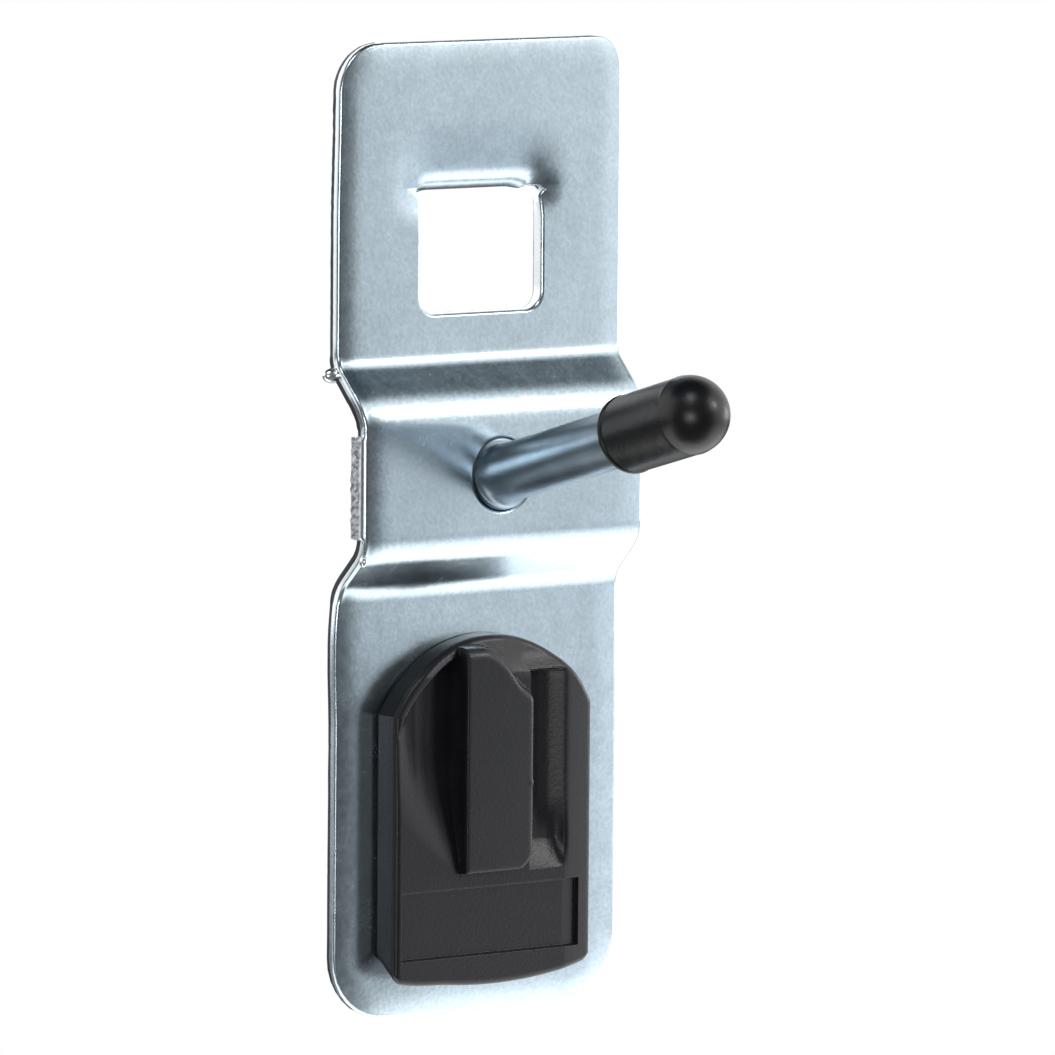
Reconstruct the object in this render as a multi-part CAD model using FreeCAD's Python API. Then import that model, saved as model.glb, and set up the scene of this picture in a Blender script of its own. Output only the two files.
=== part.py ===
import FreeCAD, Part
import math
import os

# Hook for a tool panel with square holes: a stamped plate, a riveted peg with its end cap,
# and a moulded lock clip. Millimetres. The plate's back lies in y = 0, its front looks along -Y
# and +Z is up. Heights are drawn from the plate's middle; the origin lies DROP lower, on the flat
# of the back below the raised band.

V = FreeCAD.Vector

# Panel that the hook is made for
HOLE = 10.0                # side of the panel's square holes
PITCH = 38.0               # from one hole to the next
PANEL_GAP = 1.8            # room between plate and tongue for the panel
HOLE_Z = 19.3              # middle of the upper panel hole, seen through the window
CLIP_Z = HOLE_Z - PITCH    # middle of the lower panel hole, which the clip's shank fills
DROP = 9.0                 # plate's middle above the origin

# Plate
PLATE_W = 24.0
PLATE_H = 66.6
SHEET = 1.0
CORNER_TOP = 2.4
CORNER_LOW = 4.2
EDGE_ROLL = 0.25           # soft front edge that the punch leaves
RAISE = 2.75               # how far the middle band stands forward
RAISE_MID_Z = 3.8
RAISE_HALF = 5.0           # half height of the band's flat, between sharp corners
FOOT_R = 1.0               # inner radius where the band leaves the upper flat
FOOT_LOW_R = 2.0           # and where it meets the lower flat
CROWN_R = 1.6              # inner radius where the band turns to its own flat
NECK = 0.38                # how far the band's left side is drawn in
NECK_END = 0.6             # length of the neck's slanted ends
NECK_OVER = 0.9            # how far the neck runs past the band's flat
STRIP_OUT = 0.58           # sheared strip on the necked side, where the blank was held
STRIP_LOW = -0.05
STRIP_TOP = 6.9
LUMP_R = 0.5               # small plating lump on the left side
LUMP_L = 0.7
LUMP_Z = 11.0

# Window and the tongue bent back out of it
WINDOW_W = 10.5
WINDOW_LOW = 14.4
WINDOW_TOP = 24.85         # where the tongue's bend begins
WINDOW_R = 1.2             # lower corners
WINDOW_TOP_R = 0.5
TONGUE_W = HOLE - 0.6
TONGUE_R = 0.8             # inner radius of both tongue bends
TONGUE_UP = 4.4            # straight end behind the panel
TONGUE_LEAD = 8.0          # degrees that the end leans away from the panel
TONGUE_END_R = 0.9

# Peg
PEG_D = 4.0
PEG_RISE = 15.5            # degrees above level
PEG_END = 21.6             # along the axis from the plate's front
ROOT_HOLE_D = 5.0
ROOT_FIT = 0.03            # radial gap between collar and hole
ROOT_SINK = 0.6            # collar face below the plate's front
ROOT_IN = 0.75             # start of the peg behind the plate's front
COLLAR_INTO_HEAD = 0.3
TIP_CHAMFER = 0.6
HEAD_D = 7.4
HEAD_T = 1.0
HEAD_EDGE = 0.6

# End cap
CAP_D = 5.36
CAP_START = 14.4           # along the peg's axis
CAP_FIT = 0.02             # radial gap between cap and peg
CAP_DOME_AT = 21.35        # centre of the round end
CAP_RIM_D = 5.44
CAP_RIM_L = 0.45

# Lock clip
CLIP_W = 17.1
CLIP_TOP = -7.3
CLIP_EDGE = 0.3            # rounding of the front rim
CLIP_LEAN = 0.55           # how far the top's face falls back at the crown
CLIP_SHOULDER = -12.4
CLIP_LOW_SIDE = -30.2
CLIP_LOW_MID = -31.25
CLIP_UNDERCUT = 1.4        # how much higher the underside lies at the plate than at the front
CLIP_BASE = 2.3            # body thickness in front of the plate
CLIP_RIDGE = 2.95          # ridge height in front of the plate
RIDGE_LEFT = -3.0
RIDGE_RIGHT = 2.9
RIDGE_LOW = -23.5
SCOOP_DEPTH = 1.3
CREST_X = 5.95             # right side of the right scoop
SCOOP_TOP = -9.85
SCOOP_LOW = -23.6
SCOOP_RIM = 0.7            # left scoop's distance from the clip's outline
LEFT_END_R = 9.0           # left scoop's slanted lower end is part of a cylinder
LEFT_END_Z = -16.2
LEFT_END_TURN = 24.0       # degrees
LEFT_PIVOT_X = -6.0
LEFT_PIVOT_Z = -22.0
LEFT_FLAT_LOW = -19.0      # above this the left scoop keeps its full depth
RIGHT_END_R = 4.5
RIGHT_END_RISE = 3.2
RIDGE_EDGE = 0.4
LABEL_LEFT = -8.0
LABEL_RIGHT = 7.3
LABEL_LOW = -29.25
LABEL_TOP = -24.5
LABEL_R = 0.3
LABEL_DEPTH = 0.35
SHANK = 9.1
SHANK_FIT = 0.05           # gap to the plate's hole, all round
SHANK_LEN = 6.2            # behind the plate
BARB = 0.75                # how far each barb stands out
BARB_FROM = 2.6            # ramp start behind the plate
BARB_RISE = 1.0            # length of the barb's front ramp
BARB_FLAT = 0.5
BARB_HALF = 2.25           # half width of the barb
SHANK_R = 0.6
SHANK_WALL = 1.4
SHANK_FLOOR = 0.6          # where the shank's hollow begins behind the plate
SLOT_AT = 2.6              # slots that set the spring walls free
SLOT_HALF = 0.35

REACH = PLATE_W            # length that passes any piece, for cutting tools


def box(x0, x1, y0, y1, z0, z1):
    return Part.makeBox(x1 - x0, y1 - y0, z1 - z0, V(x0, y0, z0))


def prism_x(points, width):
    """Closed outline of (y, z) points, extruded over width and centred on x = 0."""
    pts = [V(-width / 2, y, z) for y, z in points]
    face = Part.Face(Part.makePolygon(pts + [pts[0]]))
    return face.extrude(V(width, 0, 0))


def prism_y(edges, y0, y1):
    """Closed outline drawn in the plane y = 0, extruded from y0 to y1."""
    face = Part.Face(Part.Wire(Part.__sortEdges__(edges)))
    solid = face.extrude(V(0, y1 - y0, 0))
    solid.translate(V(0, y0, 0))
    return solid


def loop_y(points, y0, y1):
    pts = [V(x, 0, z) for x, z in points]
    lines = [Part.makeLine(a, b) for a, b in zip(pts, pts[1:] + pts[:1])]
    return prism_y(lines, y0, y1)


def along_y(edge):
    a, b = edge.Vertexes[0].Point, edge.Vertexes[-1].Point
    return abs(a.x - b.x) < 1e-6 and abs(a.z - b.z) < 1e-6 and abs(a.y - b.y) > 1e-3


def along_x(edge):
    a, b = edge.Vertexes[0].Point, edge.Vertexes[-1].Point
    return abs(a.y - b.y) < 1e-6 and abs(a.z - b.z) < 1e-6 and abs(a.x - b.x) > 1e-3


def round_rect_y(x0, x1, z0, z1, r, y0, y1):
    solid = box(x0, x1, y0, y1, z0, z1)
    return solid.makeFillet(r, [e for e in solid.Edges if along_y(e)])


def front_line():
    """Corners of the plate's front from top to bottom, as (y, z)."""
    top, low = RAISE_MID_Z + RAISE_HALF, RAISE_MID_Z - RAISE_HALF
    return [(-SHEET, PLATE_H / 2), (-SHEET, top + RAISE), (-SHEET - RAISE, top),
            (-SHEET - RAISE, low), (-SHEET, low - RAISE), (-SHEET, -PLATE_H / 2)]


def back_line():
    """The same corners on the plate's back, one sheet thickness behind."""
    shift = SHEET * math.tan(math.radians(22.5))
    top, low = RAISE_MID_Z + RAISE_HALF - shift, RAISE_MID_Z - RAISE_HALF + shift
    return [(0, PLATE_H / 2), (0, top + RAISE), (-RAISE, top),
            (-RAISE, low), (0, low - RAISE), (0, -PLATE_H / 2)]


def sheet_body():
    """The sheet with its raised band: one outline across the plate, with rounded bends."""
    front, back = front_line(), back_line()
    solid = prism_x(front + back[::-1], PLATE_W)
    on_front = (FOOT_R, CROWN_R + SHEET, CROWN_R + SHEET, FOOT_LOW_R)
    on_back = (FOOT_R + SHEET, CROWN_R, CROWN_R, FOOT_LOW_R + SHEET)
    for corner, radius in zip(front[1:-1] + back[1:-1], on_front + on_back):
        bend = [e for e in solid.Edges if along_x(e) and abs(e.Vertexes[0].Point.y - corner[0]) < 1e-4
                and abs(e.Vertexes[0].Point.z - corner[1]) < 1e-4]
        solid = solid.makeFillet(radius, bend)
    return solid


def tongue():
    """Strip that leaves the plate at the window's top, runs back through the hole and turns up.

    Within the plate's thickness its bend fills the window's width, and behind it the strip is
    narrower than the panel's hole.
    """
    r, t = TONGUE_R, SHEET
    zb = WINDOW_TOP
    w = TONGUE_W
    x0 = -w / 2

    def quarter(cy, low, high, width):
        ring = Part.makeCylinder(r + t, width, V(-width / 2, cy, zb), V(1, 0, 0))
        ring = ring.cut(Part.makeCylinder(r, width, V(-width / 2, cy, zb), V(1, 0, 0)))
        return ring.common(box(-width / 2, width / 2, low, high, zb - r - t, zb))

    y2 = PANEL_GAP - r
    parts = [quarter(r, -t, r, w), quarter(y2, y2, y2 + r + t, w), quarter(r, -t, 0, WINDOW_W)]
    if y2 > r:
        parts.append(box(x0, x0 + w, r, y2, zb - r - t, zb - r))
    lead = math.tan(math.radians(TONGUE_LEAD)) * TONGUE_UP
    y3 = y2 + r
    end = prism_x([(y3, zb), (y3 + t, zb), (y3 + t + lead, zb + TONGUE_UP), (y3 + lead, zb + TONGUE_UP)], w)
    end = end.makeFillet(TONGUE_END_R, [e for e in end.Edges if not along_x(e)
                               and min(v.Point.z for v in e.Vertexes) > zb + TONGUE_UP - 0.1
                               and abs(e.Vertexes[0].Point.x - e.Vertexes[-1].Point.x) < 1e-6])
    parts.append(end)
    parts.append(box(x0, x0 + w, -t, 0, zb, zb + t))
    solid = parts[0].fuse(parts[1:])
    return solid.removeSplitter()


def outline_trim():
    """The plate's outline seen from the front, with its four corner radii and the necked left side."""
    w, h = PLATE_W / 2, PLATE_H / 2
    trim = box(-w, w, -REACH, REACH, -h, h)
    for radius, level in ((CORNER_TOP, h), (CORNER_LOW, -h)):
        corners = [e for e in trim.Edges if along_y(e) and abs(e.Vertexes[0].Point.z - level) < 1e-4]
        trim = trim.makeFillet(radius, corners)
    low = RAISE_MID_Z - RAISE_HALF - NECK_OVER
    high = RAISE_MID_Z + RAISE_HALF + NECK_OVER
    neck = [(-w - NECK, low - NECK_END), (-w, low - NECK_END), (-w + NECK, low),
            (-w + NECK, high), (-w, high + NECK_END), (-w - NECK, high + NECK_END)]
    return trim.cut(loop_y(neck, -REACH, REACH))


def window_cut():
    half = WINDOW_W / 2
    cut = box(-half, half, -2 * SHEET, SHEET, WINDOW_LOW, WINDOW_TOP)
    for radius, level in ((WINDOW_R, WINDOW_LOW), (WINDOW_TOP_R, WINDOW_TOP)):
        corners = [e for e in cut.Edges if along_y(e) and abs(e.Vertexes[0].Point.z - level) < 1e-4]
        cut = cut.makeFillet(radius, corners)
    return cut


def back_plate():
    front = -SHEET - RAISE
    solid = sheet_body().common(outline_trim())
    solid = solid.cut(window_cut())

    # hole for the peg, and the square hole that the clip's shank slides in
    solid = solid.cut(Part.makeCylinder(ROOT_HOLE_D / 2, REACH, V(0, -REACH / 2, RAISE_MID_Z), V(0, 1, 0)))
    side = SHANK / 2 + SHANK_FIT
    solid = solid.cut(round_rect_y(-side, side, CLIP_Z - side, CLIP_Z + side, SHANK_R + SHANK_FIT,
                                   -2 * SHEET, SHEET))

    # soft front edge round the outline and the openings
    edges = [e for e in solid.Edges if abs(e.BoundBox.YMin + SHEET) < 1e-4
             and abs(e.BoundBox.YMax + SHEET) < 1e-4 and not across_plate(e)]
    solid = solid.makeFillet(EDGE_ROLL, edges)

    solid = solid.fuse(tongue())

    # strip sheared at a slant, flush with the necked side's front edge and proud at the back
    side_x = -PLATE_W / 2 + NECK
    strip = loop_xy([(side_x + NECK, -RAISE), (side_x - STRIP_OUT, -RAISE), (side_x, front + EDGE_ROLL / 2),
                     (side_x + NECK, front + EDGE_ROLL / 2)], STRIP_LOW, STRIP_TOP)
    lump_at = V(-PLATE_W / 2 - LUMP_R / 5, -SHEET + EDGE_ROLL, LUMP_Z)
    lump = Part.makeCylinder(LUMP_R, LUMP_L, lump_at, V(0, 1, 0))
    return solid.fuse([strip, lump]).removeSplitter()


def across_plate(edge):
    """True for the straight bend lines that run over the whole plate."""
    return along_x(edge) and edge.Length > PLATE_W - 4 * NECK


def peg_axis():
    a = math.radians(PEG_RISE)
    return V(0, -math.cos(a), math.sin(a))


def on_axis(distance):
    """Point on the peg's axis; distance 0 is the middle of the hole on the plate's front."""
    p = V(0, -SHEET - RAISE, RAISE_MID_Z)
    return p + peg_axis() * distance


def peg():
    axis = peg_axis()
    r = PEG_D / 2
    shaft = Part.makeCylinder(r, PEG_END - TIP_CHAMFER + ROOT_IN, on_axis(-ROOT_IN), axis)
    tip = Part.makeCone(r, r - TIP_CHAMFER, TIP_CHAMFER, on_axis(PEG_END - TIP_CHAMFER), axis)
    front = -SHEET - RAISE
    collar = Part.makeCylinder(ROOT_HOLE_D / 2 - ROOT_FIT, SHEET - ROOT_SINK + COLLAR_INTO_HEAD,
                               V(0, front + ROOT_SINK, RAISE_MID_Z), V(0, 1, 0))
    head = Part.makeCylinder(HEAD_D / 2, HEAD_T, V(0, front + SHEET, RAISE_MID_Z), V(0, 1, 0))
    head = head.makeFillet(HEAD_EDGE, [e for e in head.Edges if e.BoundBox.YMin > front + SHEET + HEAD_T / 2])
    return shaft.fuse([tip, collar, head]).removeSplitter()


def end_cap():
    axis = peg_axis()
    outer = Part.makeCylinder(CAP_D / 2, CAP_DOME_AT - CAP_START, on_axis(CAP_START), axis)
    dome = Part.makeSphere(CAP_D / 2, on_axis(CAP_DOME_AT))
    rim = Part.makeCylinder(CAP_RIM_D / 2, CAP_RIM_L, on_axis(CAP_START), axis)
    bore = Part.makeCylinder(PEG_D / 2 + CAP_FIT, PEG_END + CAP_FIT - CAP_START + CAP_RIM_L,
                             on_axis(CAP_START - CAP_RIM_L), axis)
    return outer.fuse([dome, rim]).cut(bore).removeSplitter()


def arc(a, m, b):
    return Part.Arc(V(a[0], 0, a[1]), V(m[0], 0, m[1]), V(b[0], 0, b[1])).toShape()


def line(a, b):
    return Part.makeLine(V(a[0], 0, a[1]), V(b[0], 0, b[1]))


def clip_outline(inset=0.0):
    h = CLIP_W / 2 - inset
    top = CLIP_TOP - inset
    return [arc((-h, CLIP_SHOULDER), (0, top), (h, CLIP_SHOULDER)),
            line((h, CLIP_SHOULDER), (h, CLIP_LOW_SIDE + inset)),
            arc((h, CLIP_LOW_SIDE + inset), (0, CLIP_LOW_MID + inset), (-h, CLIP_LOW_SIDE + inset)),
            line((-h, CLIP_LOW_SIDE + inset), (-h, CLIP_SHOULDER))]


def left_scoop(face):
    """A hollow that deepens toward the ridge and runs out at the clip's left side."""
    left = -CLIP_W / 2
    depth = SCOOP_DEPTH
    section = [(left - SHEET, face - SHEET), (left - SHEET, face), (-7.4, face + 0.23 * depth),
               (-6.2, face + 0.54 * depth), (-5.0, face + 0.78 * depth), (-4.0, face + 0.94 * depth),
               (RIDGE_LEFT - 0.25, face + depth), (RIDGE_LEFT, face + 0.88 * depth),
               (RIDGE_LEFT, face - SHEET)]
    scoop = loop_xy(section, SCOOP_LOW - SHEET, CLIP_TOP - SHEET)
    scoop = scoop.common(prism_y(clip_outline(SCOOP_RIM), face - REACH, face + REACH))
    ramp = Part.makeCylinder(LEFT_END_R, 2 * REACH, V(-REACH, face - LEFT_END_R + 1.2 * depth, LEFT_END_Z),
                             V(1, 0, 0))
    ramp.rotate(V(LEFT_PIVOT_X, face, LEFT_PIVOT_Z), V(0, 1, 0), -LEFT_END_TURN)
    full = box(-REACH, 0, face - REACH, face + REACH, LEFT_FLAT_LOW, 0)
    return scoop.common(ramp.fuse(full))


def right_scoop(face):
    """A hollow beside the ridge with a crest on its right and a round lower end."""
    depth = SCOOP_DEPTH
    section = [(RIDGE_RIGHT, face - SHEET), (RIDGE_RIGHT, face + 0.92 * depth),
               (RIDGE_RIGHT + 0.3, face + depth), (4.2, face + 0.86 * depth), (5.2, face + 0.55 * depth),
               (CREST_X, face), (CREST_X, face - SHEET)]
    scoop = loop_xy(section, SCOOP_LOW, SCOOP_TOP)
    middle = SCOOP_LOW + RIGHT_END_RISE
    end = Part.makeCylinder(RIGHT_END_R, REACH, V(0, face - RIGHT_END_R + 1.08 * depth, middle), V(1, 0, 0))
    return scoop.common(end.fuse(box(0, REACH, face - REACH, face + REACH, middle, 0)))


def ridge(seat):
    """Finger ridge between the scoops; its top falls away to the right."""
    top = [(RIDGE_LEFT, -7.95), (-1.3, -7.95), (-0.1, -8.45), (1.1, -9.2), (1.9, -9.8), (RIDGE_RIGHT, -10.8)]
    solid = loop_y([(RIDGE_LEFT, RIDGE_LOW)] + top + [(RIDGE_RIGHT, RIDGE_LOW)],
                   seat - CLIP_RIDGE, seat - CLIP_BASE / 4)
    right = [e for e in solid.Edges if along_z(e) and e.Vertexes[0].Point.x > 0
             and abs(e.Vertexes[0].Point.y - seat + CLIP_RIDGE) < 1e-4]
    return solid.makeFillet(RIDGE_EDGE, right)


def shank(seat):
    """Hollow square shank through the plate; slots free two of its walls, which carry the barbs."""
    s = SHANK / 2
    w = s - SHANK_WALL
    solid = round_rect_y(-s, s, CLIP_Z - s, CLIP_Z + s, SHANK_R, seat - CLIP_BASE / 8, SHANK_LEN)
    solid = solid.cut(box(-w, w, SHANK_FLOOR, SHANK_LEN, CLIP_Z - w, CLIP_Z + w))
    tip = BARB_FROM + BARB_RISE + BARB_FLAT
    for sign in (-1, 1):
        inner, outer = sorted((sign * (w - SLOT_HALF), sign * (s + SLOT_HALF)))
        for middle in (CLIP_Z - SLOT_AT, CLIP_Z + SLOT_AT):
            slot = box(inner, outer, SHANK_FLOOR, SHANK_LEN, middle - SLOT_HALF, middle + SLOT_HALF)
            solid = solid.cut(slot)
        barb = loop_xy([(sign * s, BARB_FROM), (sign * (s + BARB), BARB_FROM + BARB_RISE),
                        (sign * (s + BARB), tip), (sign * (s - BARB / 4), SHANK_LEN),
                        (sign * (s - BARB), SHANK_LEN), (sign * (s - BARB), BARB_FROM)],
                       CLIP_Z - BARB_HALF, CLIP_Z + BARB_HALF)
        solid = solid.fuse(barb)
    return solid


def lock_clip():
    seat = -SHEET
    face = seat - CLIP_BASE
    body = prism_y(clip_outline(), face, seat)
    slanted = Part.Face(Part.Wire(Part.__sortEdges__(clip_outline())))
    slanted.translate(V(0, seat, CLIP_UNDERCUT))
    body = body.common(slanted.extrude(V(0, -CLIP_BASE, -CLIP_UNDERCUT)))
    rim = [e for e in body.Edges if e.BoundBox.YMax < face + 1e-3]
    body = body.makeFillet(CLIP_EDGE, rim)

    # the top leans back from the scoop's upper end to the arch
    body = body.cut(prism_x([(face, SCOOP_TOP), (face - SHEET, SCOOP_TOP), (face - SHEET, CLIP_TOP + SHEET),
                             (face + 1.4 * CLIP_LEAN, CLIP_TOP + SHEET), (face + CLIP_LEAN, CLIP_TOP)],
                            2 * REACH))
    body = body.cut(left_scoop(face)).cut(right_scoop(face)).fuse(ridge(seat))

    # blank label field
    field = round_rect_y(LABEL_LEFT, LABEL_RIGHT, LABEL_LOW, LABEL_TOP, LABEL_R, face - SHEET,
                         face + LABEL_DEPTH)
    return body.cut(field).fuse(shank(seat)).removeSplitter()


def along_z(edge):
    a, b = edge.Vertexes[0].Point, edge.Vertexes[-1].Point
    return abs(a.x - b.x) < 1e-6 and abs(a.y - b.y) < 1e-6 and abs(a.z - b.z) > 1e-3


def loop_xy(points, z0, z1):
    """Closed outline of (x, y) points, extruded from z0 to z1."""
    pts = [V(x, y, z0) for x, y in points]
    face = Part.Face(Part.makePolygon(pts + [pts[0]]))
    return face.extrude(V(0, 0, z1 - z0))


PIECES = {
    "back_plate": back_plate,
    "peg": peg,
    "end_cap": end_cap,
    "lock_clip": lock_clip,
}

os.makedirs("parts", exist_ok=True)
for name, make in PIECES.items():
    shape = make()
    shape.translate(V(0, 0, DROP))
    assert shape.isValid() and len(shape.Solids) == 1, name + ": not one valid solid"
    b = shape.BoundBox
    print("%-11s %8.1f mm3  x %.2f..%.2f  y %.2f..%.2f  z %.2f..%.2f" % (
        name, shape.Volume, b.XMin, b.XMax, b.YMin, b.YMax, b.ZMin, b.ZMax))
    shape.exportStep("parts/" + name + ".step")
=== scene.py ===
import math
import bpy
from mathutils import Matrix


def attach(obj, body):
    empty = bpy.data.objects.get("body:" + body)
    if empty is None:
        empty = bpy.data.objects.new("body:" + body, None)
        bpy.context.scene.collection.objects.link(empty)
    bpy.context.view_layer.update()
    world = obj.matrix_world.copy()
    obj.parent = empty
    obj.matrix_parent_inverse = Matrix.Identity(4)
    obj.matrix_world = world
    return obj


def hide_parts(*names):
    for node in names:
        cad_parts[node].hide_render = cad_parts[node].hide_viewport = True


bl_info = {
    "name": "Pegboard Hook",
    "version": (1, 0, 0),
    "blender": (4, 5, 0),
    "location": "View3D > Sidebar > Hook",
    "description": "Builds the plate, peg, end cap and lock clip of a pegboard hook, and its stage",
    "category": "Object",
}

from types import SimpleNamespace

import bmesh
import bpy
import numpy as np
from mathutils import Matrix, Vector

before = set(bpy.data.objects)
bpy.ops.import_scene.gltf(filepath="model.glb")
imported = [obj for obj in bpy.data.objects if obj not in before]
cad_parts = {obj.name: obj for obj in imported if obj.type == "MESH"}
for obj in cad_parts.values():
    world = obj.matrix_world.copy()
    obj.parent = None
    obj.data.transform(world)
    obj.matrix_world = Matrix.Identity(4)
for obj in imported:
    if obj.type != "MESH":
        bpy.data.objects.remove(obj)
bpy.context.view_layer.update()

# Heights below are in millimetres from the plate's middle, which lies DROP above the origin.
DROP = 9.0
SHEET = 1.0
RAISE = 2.75               # how far the middle band stands forward
RAISE_MID = 3.8
RAISE_HALF = 5.0           # half height of the band's flat, between sharp corners
FOOT_R = (1.6, 2.0)        # inner radii where the band leaves the upper and lower flat
CROWN_R = (2.6, 1.8)       # and where it turns to its own flat
CLIP_Z = -18.7             # middle of the clip's shank
INSET = 0.3                # width of the cut edge's outline, taken off the flat faces
WELD = 1e-4                # points of one object nearer than this are joined


# meshes

def put(name, verts_mm, faces, material, attributes=None, sharp=None):
    """Makes a smooth mesh object from points in millimetres and faces of four corners.

    Corners that fall on one point are joined, and a quad with two equal corners becomes a triangle.
    """
    v = np.asarray(verts_mm, float).copy()
    key = np.round(v / WELD).astype(np.int64)
    _, first, back = np.unique(key, axis=0, return_index=True, return_inverse=True)
    back = back.reshape(-1)
    v = v[first]
    f = back[np.asarray(faces, int)]
    keep = f != np.roll(f, -1, 1)
    whole = keep.all(1) & (f[:, 0] != f[:, 2]) & (f[:, 1] != f[:, 3])
    three = keep.sum(1) == 3
    polys = f[whole].tolist()
    # a quad that lost one side keeps the corners that differ from their next one
    for k in range(4):
        hit = three & ~keep[:, k]
        polys += f[hit][:, [i for i in range(4) if i != k]].tolist()
    v[:, 2] += DROP
    mesh = bpy.data.meshes.new(name)
    mesh.from_pydata((v / 1000.0).tolist(), [], polys)
    for label, values in (attributes or {}).items():
        layer = mesh.attributes.new(label, "FLOAT", "POINT")
        layer.data.foreach_set("value", np.asarray(values, float)[first])
    mesh.validate()
    turned = bmesh.new()
    turned.from_mesh(mesh)
    bmesh.ops.recalc_face_normals(turned, faces=turned.faces)
    turned.to_mesh(mesh)
    turned.free()
    mesh.polygons.foreach_set("use_smooth", np.ones(len(mesh.polygons), bool))
    if sharp is not None:
        mesh.set_sharp_from_angle(angle=math.radians(sharp))
    obj = bpy.data.objects.new(name, mesh)
    bpy.context.scene.collection.objects.link(obj)
    mesh.materials.append(material)
    return obj


def grid(rows, cols, flip=False):
    """Quads over a rows by cols array of points, in reading order."""
    r, c = np.meshgrid(np.arange(rows - 1), np.arange(cols - 1), indexing="ij")
    a = (r * cols + c).ravel()
    q = np.stack([a, a + cols, a + cols + 1, a + 1], 1)
    return q[:, ::-1] if flip else q


def joined(*parts):
    """Several (points, faces) pairs as one, faces renumbered."""
    verts, faces, n = [], [], 0
    for v, f in parts:
        v = np.asarray(v, float).reshape(-1, 3)
        verts.append(v)
        faces.append(np.asarray(f, int) + n)
        n += len(v)
    return np.concatenate(verts), np.concatenate(faces)


def noise(points, size, seed):
    """Smooth noise from -1 to 1: a sum of sines in random directions, with wavelengths about as
    long as size."""
    rng = np.random.default_rng(seed)
    p = np.asarray(points, float)
    out = np.zeros(p.shape[:-1])
    for _ in range(14):
        d = rng.normal(size=p.shape[-1])
        d *= 2 * math.pi / size * rng.uniform(0.6, 1.8) / np.linalg.norm(d)
        out += np.sin(p @ d + rng.uniform(0, 6.28))
    return out / 5.0


def step(x, a, b):
    """Smooth rise from 0 at a to 1 at b."""
    t = np.clip((x - a) / (b - a), 0, 1)
    return t * t * (3 - 2 * t)


def unit(v):
    """Vectors scaled to length one."""
    return v / np.maximum(np.linalg.norm(v, axis=-1, keepdims=True), 1e-12)


def quarter(n):
    """Angles from 0 to a right angle, both included."""
    return np.linspace(0, math.pi / 2, n)


def distinct(loop):
    """Which points of a closed loop differ from the next one."""
    return np.linalg.norm(np.roll(loop, -1, 0) - loop, axis=1) > 1e-5


def rounded(d, r):
    """Drop of an edge of radius r at distance d inside it: r minus root(r squared minus k squared),
    where k is r minus d."""
    k = np.clip(r - d, 0, r)
    return r - np.sqrt(np.maximum(r * r - k * k, 0))


def arc_radius(half, rise):
    """Radius of an arc from its half width and its height: the sum of their squares over twice the
    height."""
    return (half ** 2 + rise ** 2) / (2 * rise)


def lathe(profile, turns, origin, axis):
    """A profile of (distance along the axis, radius) turned round the axis; quads face outwards."""
    profile = np.asarray(profile, float)
    axis = unit(np.asarray(axis, float))
    side = unit(np.cross(axis, [0.0, 0.0, 1.0]))
    up = np.cross(side, axis)
    t = np.linspace(0, 2 * math.pi, turns + 1)
    ring = np.cos(t)[:, None] * side + np.sin(t)[:, None] * up
    v = (np.asarray(origin, float) + profile[:, None, :1] * axis
         + profile[:, None, 1:] * ring[None, :, :])
    v[:, -1] = v[:, 0]
    return v.reshape(-1, 3), grid(len(profile), turns + 1, flip=True)


# plate

def rounded_half(z, low, high, half, r_low, r_high):
    """Half width at height z of a box whose corners are rounded at its low and high end."""
    return half - rounded(z - low, r_low) - rounded(high - z, r_high)


def bend(start, end, centre, radius, n, inside=False):
    """Rows (y, z, ny, nz) on an arc of the sheet's middle line, angles in degrees from +y. The
    front's direction points away from the centre, or towards it on an inside bend."""
    t = np.radians(np.linspace(start, end, n))
    d = np.stack([np.cos(t), np.sin(t)], 1)
    return np.concatenate([np.asarray(centre, float) + radius * d, -d if inside else d], 1)


def band_profile(z_rows):
    """The sheet's middle line with its front direction: flats at two depths joined by slopes of 45
    degrees. Each bend is an arc whose ends lie r tan(22.5 degrees) from the sharp corner."""
    half = SHEET / 2
    slant = math.tan(math.radians(22.5))
    foot, crown = np.array(FOOT_R) + half, np.array(CROWN_R) + half
    top, low = RAISE_MID + RAISE_HALF - half * slant, RAISE_MID - RAISE_HALF + half * slant
    far = -half - RAISE
    z = np.asarray(z_rows)
    ends = [top + RAISE + foot[0] * slant, top - crown[0] * slant,
            low + crown[1] * slant, low - RAISE - foot[1] * slant]

    def flat(y, keep):
        k = z[keep]
        return np.stack([np.full(k.shape, y), k, np.full(k.shape, -1.0), np.zeros(k.shape)], 1)

    gap = 0.05
    return np.concatenate([
        flat(-half, z > ends[0] + gap),
        bend(0, -45, (-half - foot[0], ends[0]), foot[0], 9, inside=True),
        bend(135, 180, (far + crown[0], ends[1]), crown[0], 13),
        flat(far, (z < ends[1] - gap) & (z > ends[2] + gap)),
        bend(180, 225, (far + crown[1], ends[2]), crown[1], 13),
        bend(45, 0, (-half - foot[1], ends[3]), foot[1], 13, inside=True),
        flat(-half, z < ends[3] - gap)])


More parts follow.
